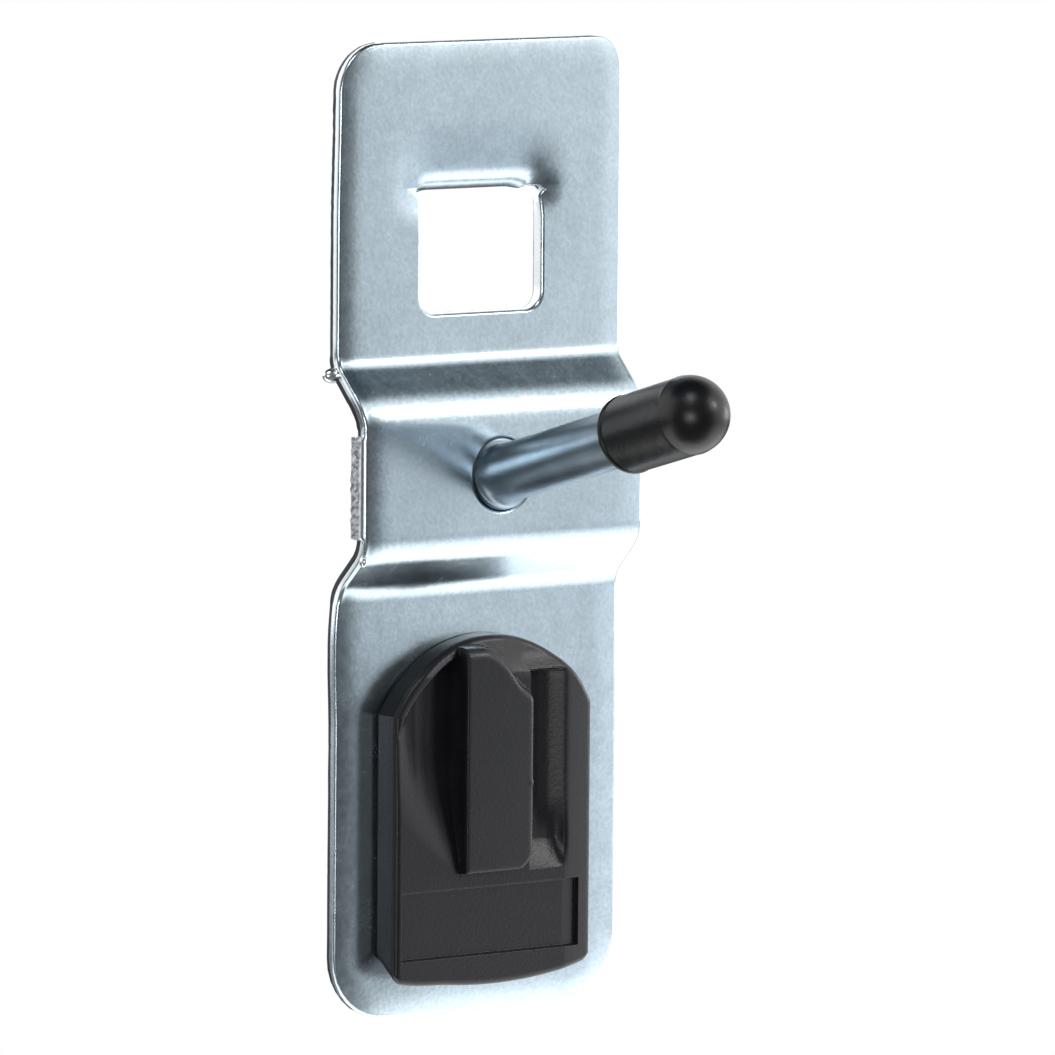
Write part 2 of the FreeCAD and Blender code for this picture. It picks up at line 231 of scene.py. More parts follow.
PEG_HOLE = 2.5             # radius of the hole for the peg
SHANK_HOLE = 4.6           # half width of the square hole for the clip's shank
SHANK_HOLE_R = 0.65
STRIP_LOW, STRIP_TOP = -0.05, 6.9   # ends of the sheared strip
BACK_ROLL = 0.08           # rounding of the cut's rear edge
TORN_OUTSIDE = 0.5         # share of the sheet that tore, round the outline
TORN_INSIDE = 0.14         # and in the openings
PUNCH_PULL = 0.11          # how far the punch pulled the outline back
PUNCH_REACH = 1.5          # and how far in from it that shows
UNEVEN = 0.02              # height of the flats' waves
UNEVEN_SIZE = 16.0         # and their length
LOW_BOW = 0.0024           # the lower left bows back by this times the distance squared
LOW_SAG = 0.12             # how far the bottom edge sags
WINDOW_HALF = 5.25
WINDOW_R = 1.2             # radius of its lower corners
WINDOW_OFF = 0.2           # how much nearer to the middle its left side is
WINDOW_LOW = 14.72         # the window's bottom edge
FOLD_TOP = 24.66           # where the tongue's bend begins
FOLD_LOW = 23.3            # where the cuts beside the tongue end, measured along the flat sheet
FOLD_FADE = 2.4            # how far below that the sheet beside them is still dragged along
TONGUE_LEN = 9.0
TONGUE_HALF = 4.7
TONGUE_BEND = 1.3          # radius of its bends' middle line
TONGUE_TIP = 0.65          # radius of its end's corners
TONGUE_RUN = 0.1           # level part between its two bends
TONGUE_LEAN = 8.0          # degrees by which its end leans away from the panel
DISH = 0.27                # how far the sheet has bowed back where the bend begins
DISH_REACH = 3.6           # and how high above it the bowing starts


def tongue_line(s):
    """Middle of the tongue as (y, z) at developed length s from the start of its bend: the rest of
    a quarter turn back, a level run through the panel, a turn up and a straight end that leans
    away."""
    r, first = TONGUE_BEND, math.atan(2 * DISH / DISH_REACH)
    lean = math.radians(TONGUE_LEAN)
    a = first + np.clip(s / r, 0, math.pi / 2 - first)
    y = DISH - SHEET / 2 + r * (math.cos(first) - np.cos(a))
    z = FOLD_TOP + r * (math.sin(first) - np.sin(a))
    s = s - r * (math.pi / 2 - first)
    y = y + np.clip(s, 0, TONGUE_RUN)
    s = s - TONGUE_RUN
    b = np.clip(s / r, 0, math.pi / 2 - lean)
    y, z = y + r * np.sin(b), z + r * (1 - np.cos(b))
    s = np.clip(s - r * (math.pi / 2 - lean), 0, None)
    return y + s * math.sin(lean), z + s * math.cos(lean)


def dragged(x):
    """Share in which the sheet follows the tongue's bend, from the tongue to beside the cuts."""
    return 1 - step(np.abs(x), 3.4, 6.6)


def bowed(x):
    """Share in which the sheet above the bend bows back; the dish lies a little to the left."""
    return 1 - step(np.abs(x + 0.3), 3.6, 7.2)


def fold(x, z):
    """Moves flat sheet points near the window's top edge back with the tongue.

    Above the bend the sheet bows back along a parabola. Between the cuts it follows the tongue's
    bend; beside them it is dragged along, less and less outwards and down to FOLD_FADE below the
    ends of the cuts.
    """
    s = np.clip(FOLD_TOP - z, 0, FOLD_TOP - FOLD_LOW)
    y_bent, z_bent = tongue_line(s)
    bow = DISH * np.clip((FOLD_TOP + DISH_REACH - z) / DISH_REACH, 0, 1) ** 2
    fade = step(z, FOLD_LOW - FOLD_FADE, FOLD_LOW)
    drag = dragged(x) * fade
    y = -SHEET / 2 + bowed(x) * fade * bow + drag * (y_bent + SHEET / 2 - DISH)
    return y, z + drag * (z_bent - (FOLD_TOP - s))


def normals(points):
    """Front direction of a grid of points whose rows run down and whose columns run right."""
    return unit(np.cross(np.gradient(points, axis=0), np.gradient(points, axis=1)))


def edge_strip(mid, nrm, roll, proud, tear):
    """Carries the cut edge's outline along a border loop that has the sheet on its left.

    At each loop point the outward direction is the border's tangent crossed with the sheet's
    normal, lengthened at corners. The outline leaves the front, rounds over with the radius roll,
    runs straight down the cut, and turns onto the back. The cut's rear part is torn metal: noise
    moves it in and out; tear is its share of the sheet. proud pushes the cut out, from nothing at
    the front to all at the back.
    Returns the points, the faces, and two marks. The mark for the cut is 0 on the face, 0.5 where
    the punch burnished it and 1 where it tore; the one for the sheared strip is 0.5 at its smooth
    front part and 1 at its rough rear part.
    """
    ahead = np.cross(nrm, unit(np.roll(mid, -1, 0) - mid))
    behind = np.cross(nrm, unit(mid - np.roll(mid, 1, 0)))
    out = unit(ahead + behind)
    mitre = 1.0 / np.clip(np.sum(out * ahead, 1), 0.6, 1.0)
    back = BACK_ROLL
    t, tb = quarter(8), quarter(4)
    down = np.linspace(0.5 - roll, back - 0.5, 14)[1:-1]
    across = np.concatenate([[0.0], INSET - roll + roll * np.sin(t), np.full(len(down), INSET),
                             INSET - back + back * np.cos(tb), [0.0]])
    depth = np.concatenate([[0.5], 0.5 - roll + roll * np.cos(t), down,
                            back - 0.5 - back * np.sin(tb), [-0.5]])
    push = np.clip(across / INSET, 0, 1) * (0.5 - depth) * proud[:, None]
    v = (mid[:, None] + out[:, None] * (mitre[:, None] * across[None] + push)[..., None]
         + nrm[:, None] * (depth * SHEET)[None, :, None])
    wall = (across > INSET * 0.97).astype(float)
    strip = np.clip(proud / 0.2, 0, 1)[:, None]
    sheared = strip * wall[None] * (0.5 + 0.5 * step(0.18 - depth, 0, 0.1))[None]
    torn = step(tear - 0.5 - depth, 0, 0.06) * (across > INSET * 0.6)
    cut = np.repeat((np.maximum(0.5 * wall, torn))[None], len(mid), 0)
    cut = cut * (1 - strip) + strip * np.maximum(step(-0.40 - depth, 0, 0.05) * 0.8, 0)[None]
    rough = noise(v, 0.55, 5) * (0.018 * torn[None] + 0.05 * np.clip(sheared * 2 - 1, 0, 1))
    v = v + out[:, None] * rough[..., None]
    v, cut, sheared = (np.concatenate([k, k[:1]], 0) for k in (v, cut, sheared))
    return v.reshape(-1, 3), grid(v.shape[0], v.shape[1]), cut.ravel(), sheared.ravel()


def plate_rows(size):
    """Heights of the plate's rows from top to bottom, close together where an outline turns."""
    d = INSET
    half_h = size.height / 2
    t = quarter(9)
    top, low = size.corner_top - d, size.corner_low - d
    hole = PEG_HOLE + d
    side, rs = SHANK_HOLE + d, SHANK_HOLE_R + d
    parts = [half_h - d - top * (1 - np.cos(t)),
             np.linspace(half_h - d - top, 29.0, 4),
             np.linspace(29.0, FOLD_TOP, 20),
             np.linspace(FOLD_TOP, FOLD_LOW, 13),
             FOLD_LOW - np.linspace(0, 1.7, 14),
             np.linspace(21.6, WINDOW_LOW + WINDOW_R, 12),
             WINDOW_LOW + WINDOW_R - (WINDOW_R + d) * np.sin(t),
             [13.7, 13.2, 10.4, 10.0, 7.15, 6.94, 6.86],
             RAISE_MID + hole * np.cos(np.linspace(0, math.pi, 41)),
             np.arange(6.4, 1.1, -0.23),
             [0.7, 0.4, 0.15, -0.01, -0.09, -0.3],
             [-5.4, -6.5, -7.5, -9.5, -11.5, -13.0],
             CLIP_Z + side - rs * (1 - np.cos(t[::2])),
             np.linspace(CLIP_Z + side - rs, CLIP_Z - side + rs, 6),
             CLIP_Z - side + rs * (1 - np.sin(t[::2])),
             [-25.5, -27.5],
             -half_h + d + low - low * np.sin(t)]
    z = np.concatenate([np.asarray(k, float) for k in parts])
    z = np.unique(np.round(z, 5))[::-1]
    keep = np.concatenate([[True], -np.diff(z) > 0.012])
    return z[keep]


def plate_mesh(size):
    """The sheet as one grid whose column lines follow the outline, the openings and the tongue, on
    the front and on the back, with the cut edge carried round every border."""
    d = INSET
    half_w, half_h = size.width / 2 - d, size.height / 2 - d
    rows = band_profile(plate_rows(size))
    z = rows[:, 1]

    # outline: the band's left side is drawn in, and each corner has its own radius
    neck = size.neck * step(z, -6.6, -2.2) * step(-z, -9.9, -6.9)
    drawn_in = 0.07 + 0.2 * step(-z, 7.5, 13.0) + 0.12 * step(z, 21.0, 30.0)
    left = rounded_half(z, -half_h, half_h, half_w, size.corner_low - d, size.corner_top + 0.7 - d)
    left -= neck + drawn_in
    right = rounded_half(z, -half_h, half_h, half_w + 0.1 + 0.06 * step(z, 9.0, 14.0),
                         size.corner_low + 0.4 - d, size.corner_top - 0.4 - d)

    # openings: window with a nick beside each end of the fold, peg hole, and the shank's hole
    hole = PEG_HOLE + d
    side, rs = SHANK_HOLE + d, SHANK_HOLE_R + d
    low = WINDOW_LOW - d
    window = rounded_half(z, low, FOLD_LOW, WINDOW_HALF + d, WINDOW_R + d, 0.25)
    nick = np.exp(-((z - FOLD_LOW + 0.50) / 0.34) ** 2)
    ring = np.sqrt(np.maximum(hole ** 2 - (z - RAISE_MID) ** 2, 0))
    shank = rounded_half(z, CLIP_Z - side, CLIP_Z + side, side, rs, rs)
    knots_z = [FOLD_LOW, low, RAISE_MID + hole, RAISE_MID - hole, CLIP_Z + side, -99.0]
    knots_w = [5.3, 4.05, 0.0, 0.0, side - rs, side - rs]
    bare = np.interp(-z, [-k for k in knots_z], knots_w)
    in_window = (z <= FOLD_LOW + 1e-6) & (z >= low - 1e-6)
    in_ring = np.abs(z - RAISE_MID) <= hole + 1e-6
    in_shank = np.abs(z - CLIP_Z) <= side + 1e-6
    openings = [in_window, in_ring, in_shank]
    edge_l = np.select(openings, [window - WINDOW_OFF + 0.12 * nick, ring, shank], bare)
    edge_r = np.select(openings, [window + 0.42 * nick, ring, shank], bare)
    tongue_w = TONGUE_HALF - d
    inner = np.where(z >= FOLD_LOW - 1e-6, tongue_w, np.minimum(edge_l, edge_r) * 0.83)

    knots = np.stack([-left, -edge_l, -inner, inner, edge_r, right], 1)
    counts = [12, 5, 16, 5, 12]
    mark = np.cumsum([0] + counts)
    shares = [np.linspace(0, 1, n + 1) for n in counts]
    shares[0] = shares[0] ** 1.5
    shares[-1] = 1 - (1 - shares[-1]) ** 1.5
    cols = [knots[:, k, None] + (knots[:, k + 1, None] - knots[:, k, None]) * share[(k > 0):]
            for k, share in enumerate(shares)]
    x = np.concatenate(cols, 1)
    nr, nc = x.shape
    across = np.ones((1, nc))
    mid = np.stack([x, rows[:, :1] * across, z[:, None] * across], 2)
    nrm = np.stack([0 * x, rows[:, 2:3] * across, rows[:, 3:4] * across], 2)
    near = (z < 30.0) & (z > 20.0)
    mid[near, :, 1], mid[near, :, 2] = fold(x[near], z[near][:, None] * across)
    # punching rolls the outline back a little, and leaves the flats not quite flat; a point's
    # distance from a side is its level distance times the cosine of the side's slant there
    slant_l, slant_r = (np.hypot(1, np.gradient(k, z))[:, None] for k in (left, right))
    aside = np.minimum((x + left[:, None]) / slant_l, (right[:, None] - x) / slant_r)
    inward = np.minimum(aside, half_h - np.abs(z)[:, None])
    mid[..., 1] += PUNCH_PULL * (np.clip(PUNCH_REACH - inward, 0, None) / PUNCH_REACH) ** 2
    mid[..., 1] += UNEVEN * noise(np.stack([x, mid[..., 2]], -1), UNEVEN_SIZE, 8)
    low_left = step(-mid[..., 2], 5.0, 12.0) * np.clip(-x - 2.0, 0, None) ** 2
    mid[..., 1] += LOW_BOW * low_left
    mid[..., 2] -= LOW_SAG * step(-z, 28.0, 32.5)[:, None]
    shaped = (near[:, None] | (inward < 2.2)) & (nrm[..., 1] < -1 + 1e-9)
    nrm = np.where(shaped[..., None], normals(mid), nrm)

    void = np.zeros((nr - 1, nc - 1), bool)
    for inside in openings:
        void[inside[:-1] & inside[1:], mark[1]:mark[4]] = True
    faces = grid(nr, nc)[~void.ravel()]

    # the tongue goes on from the middle columns of the window's top row
    w0, w1 = np.nonzero(in_window)[0][[0, -1]]
    start = FOLD_TOP - FOLD_LOW
    tip = TONGUE_TIP
    s = np.concatenate([np.linspace(start, TONGUE_LEN - d - tip, 34)[1:],
                        TONGUE_LEN - d - tip * (1 - np.sin(quarter(8)[1:]))])
    gap = np.clip(tip - (TONGUE_LEN - d - s), 0, tip)
    half = tongue_w - tip + np.sqrt(np.maximum(tip ** 2 - gap ** 2, 0))
    tx = half[:, None] * np.linspace(-1, 1, counts[2] + 1)[None]
    ty, tz = tongue_line(s[:, None] + 0 * tx)
    hold = (1 - dragged(tx)) * (1 - step(s[:, None], start, start + 1.6))
    ty = ty + hold * (DISH - SHEET / 2 - ty)
    ty = ty + (bowed(tx) - 1) * DISH * (1 - step(s[:, None], start, start + 3.0))
    tz = tz + hold * (FOLD_TOP - s[:, None] - tz)
    tmid = np.concatenate([mid[w0:w0 + 1, mark[2]:mark[3] + 1], np.stack([tx, ty, tz], 2)], 0)
    above = mid[w0 - 1:w0, mark[2]:mark[3] + 1]
    tnrm = normals(np.concatenate([above, tmid], 0))[1:]
    tnrm[0] = nrm[w0, mark[2]:mark[3] + 1]
    tr, tc = tmid.shape[:2]

    # border loops, each with the sheet on its left seen from the front
    def down(col, a, b):
        return np.stack([np.arange(a, b + 1), np.full(b - a + 1, col)], 1)

    def along(row, a, b):
        return np.stack([np.full(b - a + 1, row), np.arange(a, b + 1)], 1)

    def at(cells, of_tongue=False):
        grids = (tmid, tnrm) if of_tongue else (mid, nrm)
        return [g[cells[:, 0], cells[:, 1]] for g in grids]

    last = nr - 1
    outer = np.concatenate([along(0, 0, nc - 1), down(nc - 1, 0, last)[1:],
                            along(last, 0, nc - 1)[::-1][1:], down(0, 0, last)[::-1][1:-1]])
    loops = [at(outer)]
    for inside in (in_ring, in_shank):
        a, b = np.nonzero(inside)[0][[0, -1]]
        loops.append(at(np.concatenate([
            down(mark[1], a, b), along(b, mark[1], mark[4])[1:],
            down(mark[4], a, b)[::-1][1:], along(a, mark[1], mark[4])[::-1][1:-1]])))
    to_tongue = np.concatenate([
        down(mark[1], w0, w1), along(w1, mark[1], mark[4])[1:],
        down(mark[4], w0, w1)[::-1][1:], along(w0, mark[3], mark[4])[::-1][1:]])
    round_tongue = np.concatenate([
        down(tc - 1, 1, tr - 1), along(tr - 1, 0, tc - 2)[::-1], down(0, 0, tr - 2)[::-1][:-1]])
    to_window = along(w0, mark[1] + 1, mark[2])[::-1]
    stages = zip(at(to_tongue), at(round_tongue, True), at(to_window))
    loops.append([np.concatenate(k) for k in stages])

    parts, cuts, strips = [], [], []
    for sign in (1, -1):
        for m, n, f in ((mid, nrm, faces), (tmid, tnrm, grid(tr, tc))):
            parts.append((m + sign * 0.5 * SHEET * n, f))
            cuts.append(np.zeros(m.shape[0] * m.shape[1]))
            strips.append(cuts[-1])
    for number, (m, n) in enumerate(loops):
        keep = distinct(m)
        m, n = m[keep], n[keep]
        strip = (m[:, 0] < 0) & (m[:, 2] < STRIP_TOP) & (m[:, 2] > STRIP_LOW) & (number == 0)
        v, f, cut, sheared = edge_strip(m, n, size.edge_roll, np.where(strip, size.strip, 0.0),
                                        TORN_INSIDE if number else TORN_OUTSIDE)
        parts.append((v, f))
        cuts.append(cut)
        strips.append(sheared)
    verts, faces = joined(*parts)
    return verts, faces, np.concatenate(cuts), np.concatenate(strips)


LUMP_AT, LUMP_R = (-12.0, -0.45, 10.9), (0.84, 0.5, 0.54)
BURR_AT, BURR_R = (-11.5, -3.38, -1.55), (0.24, 0.3, 0.42)


def egg(middle, radii, turns=24):
    """A small closed egg: a sphere's grid stretched to three radii."""
    around, up = np.meshgrid(np.linspace(0, 2 * math.pi, turns + 1),
                             np.linspace(-math.pi / 2, math.pi / 2, turns // 2 + 1))
    v = np.stack([np.cos(around) * np.cos(up), np.sin(around) * np.cos(up), np.sin(up)], 2) * radii
    v[:, -1] = v[:, 0]
    return (v + middle).reshape(-1, 3), grid(turns // 2 + 1, turns + 1, flip=True)


def lumps_mesh():
    """The plating lump on the left edge above the band, and the curled burr below the strip."""
    return joined(egg(LUMP_AT, LUMP_R), egg(BURR_AT, BURR_R, 20))


# peg and cap

ROOT = (0.0, -SHEET - RAISE, RAISE_MID)     # where the axis meets the band's front
PEG_IN = 0.75              # how far the rod goes into the plate
FLARE = 0.36               # how much wider the rod is at its root
END_R = 0.6                # rounding of the rod's end and of the head's
COLLAR = 2.47              # radius of the collar in the plate's hole
HEAD = 3.7                 # radius of the formed head behind the plate
HEAD_END = 2.0             # and where the head ends
BORE_GAP = 0.02            # gap between the rod and the cap's bore
LIP = 0.22                 # rounding of the cap's mouth
BULGE = 0.03               # how much wider the cap is at its round end than at its mouth


def peg_axis(rise):
    """Direction of a peg that leaves the front and climbs by the angle rise."""
    return np.array([0.0, -math.cos(rise), math.sin(rise)])


def peg_mesh(size):
    """Rod, collar and formed head, each a closed turned shape. The rod widens a little at its root.

    Returns the points, the faces and how much painted shade each point gets in the staked ring
    round the root.
    """
    r, end = size.peg / 2, size.peg_end
    t = quarter(8)
    rise, fall = END_R * np.sin(t), END_R * np.cos(t)
    along = np.concatenate([np.linspace(0.05 - PEG_IN, 2.2, 30), np.linspace(2.4, end - 0.7, 24)])
    flare = r + FLARE * np.exp(-np.clip(along + 0.1, 0, None) / 0.4)
    rod = [(-PEG_IN, 0.0), (-PEG_IN, r + FLARE), *zip(along, flare)]
    rod += [*zip(end - END_R + rise, r - END_R + fall), (end, 0.0)]
    collar = [(0.2, 0.0), (0.2, COLLAR - 0.12), (0.24, COLLAR - 0.03), (0.32, COLLAR),
              (1.3, COLLAR), (1.3, 0.0)]
    head = [(1.0, 0.0), (1.0, HEAD - 0.05), (1.05, HEAD), (HEAD_END - END_R, HEAD)]
    head += [*zip(HEAD_END - END_R + rise, HEAD - END_R + fall)]
    head += [(HEAD_END, 1.6), (HEAD_END - 0.07, 1.2), (HEAD_END - 0.1, 0.0)]
    level = (0.0, 1.0, 0.0)
    verts, faces = joined(lathe(rod, 72, ROOT, peg_axis(size.rise)),
                          lathe(collar, 72, ROOT, level), lathe(head, 72, ROOT, level))
    depth = verts[:, 1] + SHEET + RAISE
    # painted shade: the collar's face, deep in the hole round the rod's root, is marked for a dark
    # colour
    groove = 0.7 * step(depth, 0.1, 0.3) * (1 - step(depth, 1.2, 1.3))
    return verts, faces, groove


def cap_mesh(size):
    """One closed turned shape: mouth, slightly bulging wall, a faint ring where the round end
    begins, the round end, and the bore back to the mouth."""
    s0, s1, r = size.cap_start, size.cap_dome, size.cap / 2
    bore, end = size.peg / 2 + BORE_GAP, size.peg_end + BORE_GAP
    t = np.linspace(-math.pi / 2, math.pi / 2, 9)
    lip = [*zip(s0 + LIP + LIP * np.sin(t), r - 0.18 + LIP * np.cos(t))]
    s = np.linspace(s0 + 0.56, s1 - 0.6, 22)
    wall = [*zip(s, r - BULGE + BULGE * np.sin((s - s0) / (s1 - s0) * math.pi / 2))]
    s = np.linspace(-0.5, 0.5, 21)
    round_end = np.sqrt(r * r - np.clip(s, 0, None) ** 2)
    ring = [*zip(s1 + s, round_end + 0.028 * np.exp(-(s / 0.16) ** 2))]
    t = np.linspace(math.asin(0.5 / r), math.pi / 2, 26)[1:-1]
    dome = [*zip(s1 + r * np.sin(t), r * np.cos(t)), (s1 + r, 0.0)]
    inner = [(end, 0.0), (end, bore), (s0 + 0.15, bore), (s0, bore + 0.1)]
    return lathe(inner + lip + wall + ring + dome, 112, ROOT, peg_axis(size.rise))


# lock clip

CLIP_HALF = 8.55           # half width
CLIP_MIDDLE = -19.0        # a height inside the clip, for its back's middle point
SHOULDER = -12.4           # height at which the arch meets the sides
CROWN = -7.3               # highest point of the arch
LOW_SIDE = -30.2           # heights of the front's lower edge, at the sides and in the middle
LOW_MID = -31.25
FOOT_DROP = 0.12           # how much lower than that the edge lies as a whole
FOOT_FULL = 0.32           # and how much more on the left
UNDERCUT = 1.4             # how much higher the underside is at the plate than at the front
CLIP_BODY = 2.3            # height of the front above the plate
CLIP_EDGE = 0.4            # rounding of the front's rim
RIDGE = 2.98               # height of the ridge
RIDGE_LEFT, RIDGE_RIGHT, RIDGE_LOW = -3.0, 2.9, -23.5
RIDGE_BURR = (2.72, -17.6)
SCOOP_TOP, SCOOP_LOW = -9.85, -23.65    # ends of the right scoop
CREST = 5.95               # where the right scoop's crest meets the border
BORDER_DROP = 0.42         # how far the border drops from the crest to the side
LEAN_FROM, LEAN = -9.9, 0.62            # where the top begins to lean back, and how far it does
LEFT_END = (-19.2, -23.9)  # low end of the left scoop, at the side and at the ridge
LEFT_RAMP = 6.4            # how far its floor rises to that end
LEFT_RIM = 0.7             # width of the rim above it
LABEL_LEFT, LABEL_RIGHT, LABEL_LOW, LABEL_TOP = -8.0, 7.3, -29.25, -24.5
LABEL_DEPTH = 0.34
CORNER = 0.75              # rounding of the lower corners


def arch(x, inset=0.0):
    """Top of the clip at x: a circle through the shoulders and the crown."""
    r = arc_radius(CLIP_HALF, CROWN - SHOULDER)
    return CROWN - r + np.sqrt(np.maximum((r - inset) ** 2 - x * x, 0.0))


def foot(x):
    """Bottom of the clip's front at x: a shallow circle with rounded corners, lower on the left."""
    r = arc_radius(CLIP_HALF, LOW_SIDE - LOW_MID)
    circle = LOW_MID - FOOT_DROP + r - np.sqrt(np.maximum(r ** 2 - x * x, 0.0))
    return circle - FOOT_FULL * step(-x, 3.5, 8.0) + rounded(CLIP_HALF - np.abs(x), CORNER)


def ridge_top(x):
    """Top of the finger ridge: level on the left, then an S-curve down to the right."""
    return -7.94 - 3.1 * step(x, -1.5, 3.4) - 0.35 * step(x, 0.4, 1.8)


def clip_height(x, z):
    """Height of the clip's front above the plate: body, scoops, ridge and label field."""
    h = np.full(x.shape, CLIP_BODY)
    # the right border leans outward from the scoop's crest, and the top leans back to the arch
    h -= BORDER_DROP * np.clip((x - CREST) / (CLIP_HALF - CREST), 0, 1) ** 1.25
    h -= LEAN * np.clip((z - LEAN_FROM) / (CROWN - LEAN_FROM), 0, 1)
    h -= 0.34 * step(z, -10.6, -8.6) * step(x, 0.5, 3.0)

    # left scoop: deepest at the ridge, its floor rising to the border and, slowly, to its low end
    deep = np.interp(x, [-CLIP_HALF, -7.6, -6.4, -5.2, -4.2, -3.5, -3.05],
                     [0.0, 0.34, 0.82, 1.12, 1.29, 1.38, 1.4])
    slope = (LEFT_END[1] - LEFT_END[0]) / (RIDGE_LEFT + CLIP_HALF)
    line = LEFT_END[0] + slope * (x + CLIP_HALF)
    t = np.clip((z - line) / math.sqrt(1 + slope * slope) / LEFT_RAMP, 0, 1)
    ramp = t ** 1.5 * (2.5 - 1.5 * t)
    rim = np.clip((arch(x, LEFT_RIM) - z) / 0.4, 0, 1)
    h -= deep * ramp * step(rim, 0, 1) * (x < RIDGE_LEFT)

    # right scoop: deepest at the ridge and rising to a crest line; its low end is a short ramp that
    # is nearly level from side to side
    stations = [RIDGE_RIGHT, 3.3, 4.2, 5.0, 5.5, 5.75, CREST, 6.2]
    deep = np.interp(x, stations, [1.35, 1.33, 1.12, 0.74, 0.38, 0.17, 0.05, 0.0])
    low_end = np.interp(x, stations, [0.86, 0.84, 0.8, 0.76, 0.64, 0.4, 0.14, 0.0])
    deep += (low_end - deep) * step(-z, 18.6, 21.8)
    t = np.clip((z - SCOOP_LOW) / 2.0, 0, 1)
    ramp = 1.25 * t - 0.25 * t * t
    h -= deep * ramp * step(SCOOP_TOP - z, 0.0, 0.2) * (x > RIDGE_RIGHT)

    # ridge: falling top, rounded right side and lower right corner, and a burr on the right side
    left, low = x - RIDGE_LEFT, z - RIDGE_LOW
    crown = RIDGE - 0.10 * np.clip(left / (RIDGE_RIGHT - RIDGE_LEFT), 0, 1) ** 2
    right = RIDGE_RIGHT - rounded(low, 1.3) - x
    top = ridge_top(x) - z
    inside = np.minimum.reduce([left, right, low, top])
    soft = rounded(left, 0.18) + rounded(right, 0.42) + rounded(low, 0.2) + rounded(top * 0.8, 0.7)
    burr = 0.10 * np.exp(-((x - RIDGE_BURR[0]) / 0.13) ** 2 - ((z - RIDGE_BURR[1]) / 0.22) ** 2)
    ridge = crown - np.minimum(soft, 1.0) + burr
    on = step(inside, -0.03, 0.03)
    h = h * (1 - on) + np.maximum(ridge, h) * on

    # blank label field
    inside = np.minimum.reduce([x - LABEL_LEFT, LABEL_RIGHT - x, z - LABEL_LOW, LABEL_TOP - z])
    h -= LABEL_DEPTH * step(inside, 0.0, 0.12)
    return h


def cluster(a, b, n, fine):
    """Evenly spaced stations from a to b plus fine ones round each (place, half width) pair."""
    base = [np.linspace(a, b, n)] + [place + np.linspace(-half, half, 11) for place, half in fine]
    s = np.unique(np.round(np.concatenate(base), 4))
    s = s[(s >= a) & (s <= b)]
    s = s[np.concatenate([[True], np.diff(s) > 0.012])]
    s[0], s[-1] = a, b
    return s


def clip_front():
    """Grid over the clip's outline. Columns run up and down; rows are level between the lower
    corners and the shoulders, and beyond them they are squeezed between the arch or the foot."""
    w = CLIP_HALF
    xs = cluster(-w, w, 96, [
        (-w + 0.1, 0.14), (w - 0.1, 0.14), (RIDGE_LEFT, 0.12), (RIDGE_RIGHT, 0.14), (CREST, 0.1),
        (LABEL_LEFT + 0.05, 0.12), (LABEL_RIGHT - 0.05, 0.12), (3.1, 0.1)])
    high_from, low_from = SHOULDER - 0.1, -29.5
    low = cluster(LOW_MID, low_from, 18, [(LOW_MID + 0.1, 0.12)])
    mid = cluster(low_from, high_from, 120, [
        (LABEL_LOW + 0.05, 0.14), (LABEL_TOP - 0.05, 0.14), (RIDGE_LOW, 0.14), (-22.4, 0.1)])[1:]
    high = cluster(high_from, CROWN, 70, [(CROWN - 0.1, 0.14)])[1:]
    t = np.concatenate([low, mid, high])
    x = np.repeat(xs[None], len(t), 0)
    z = np.repeat(t[:, None], len(xs), 1)
    upper = high_from + (z - high_from) / (CROWN - high_from) * (arch(x) - high_from)
    lower = low_from + (z - low_from) / (low_from - LOW_MID) * (low_from - foot(x))
    z = np.where(t[:, None] > high_from, upper, np.where(t[:, None] < low_from, lower, z))
    return x, z


def clip_mesh():
    """Front grid by height, closed by a wall carried round its border and a flat back."""
    x, z = clip_front()
    # distance inside the outline, for the rounded front edge
    r_top = arc_radius(CLIP_HALF, CROWN - SHOULDER)
    top = r_top - np.hypot(x, z - CROWN + r_top)
    low = z - foot(x)
    side = CLIP_HALF - np.abs(x)
    edge = np.where(z > SHOULDER - 1.6, np.minimum(top, side), side)
    edge = np.where(z < LOW_SIDE + 4.2, np.minimum(low, edge), edge)
    h = clip_height(x, z)
    h -= rounded(np.maximum(edge, 0.0), CLIP_EDGE)
    front = np.stack([x, -SHEET - h, z], 2)
    ring = np.concatenate([front[-1], front[::-1, -1][1:], front[0, ::-1][1:], front[:, 0][1:-1]])
    ring = ring[distinct(ring)]
    # wall: level stations from the front edge down to the plate, tucked in just above it
    tangent = np.roll(ring, -1, 0) - np.roll(ring, 1, 0)
    inward = unit(np.stack([tangent[:, 2], np.zeros(len(ring)), -tangent[:, 0]], 1))
    inward *= -np.sign(np.sum(inward * (ring - np.array([0, 0, CLIP_MIDDLE])), 1, keepdims=True))
    level = np.array([1.0, 0.97, 0.9, 0.8, 0.7, 0.6, 0.5, 0.4, 0.3, 0.2, 0.1, 0.06, 0.03, 0.0])
    tuck = np.interp(level, [0.0, 0.03, 0.06, 0.1], [0.2, 0.16, 0.06, 0.0])
    hh = -SHEET - ring[:, 1]
    wall = np.repeat(ring[:, None], len(level), 1)
    wall[:, :, 1] = -SHEET - hh[:, None] * level[None]
    wall += inward[:, None] * tuck[None, :, None]
    # the underside rises towards the plate, and cuts off the walls' lower ends
    lift = foot(wall[:, :, 0]) + UNDERCUT * (1 - level[None])
    wall[:, :, 2] = np.maximum(wall[:, :, 2], lift)
    wall = np.concatenate([wall, wall[:1]], 0)
    middle = np.array([0.0, -SHEET, CLIP_MIDDLE])
    rim = wall[:, -1]
    back = np.stack([rim, np.repeat(middle[None], len(rim), 0)], 1)
    return joined((front.reshape(-1, 3), grid(*x.shape, flip=True)),
                  (wall.reshape(-1, 3), grid(wall.shape[0], len(level), flip=True)),
                  (back.reshape(-1, 3), grid(len(rim), 2, flip=True)))


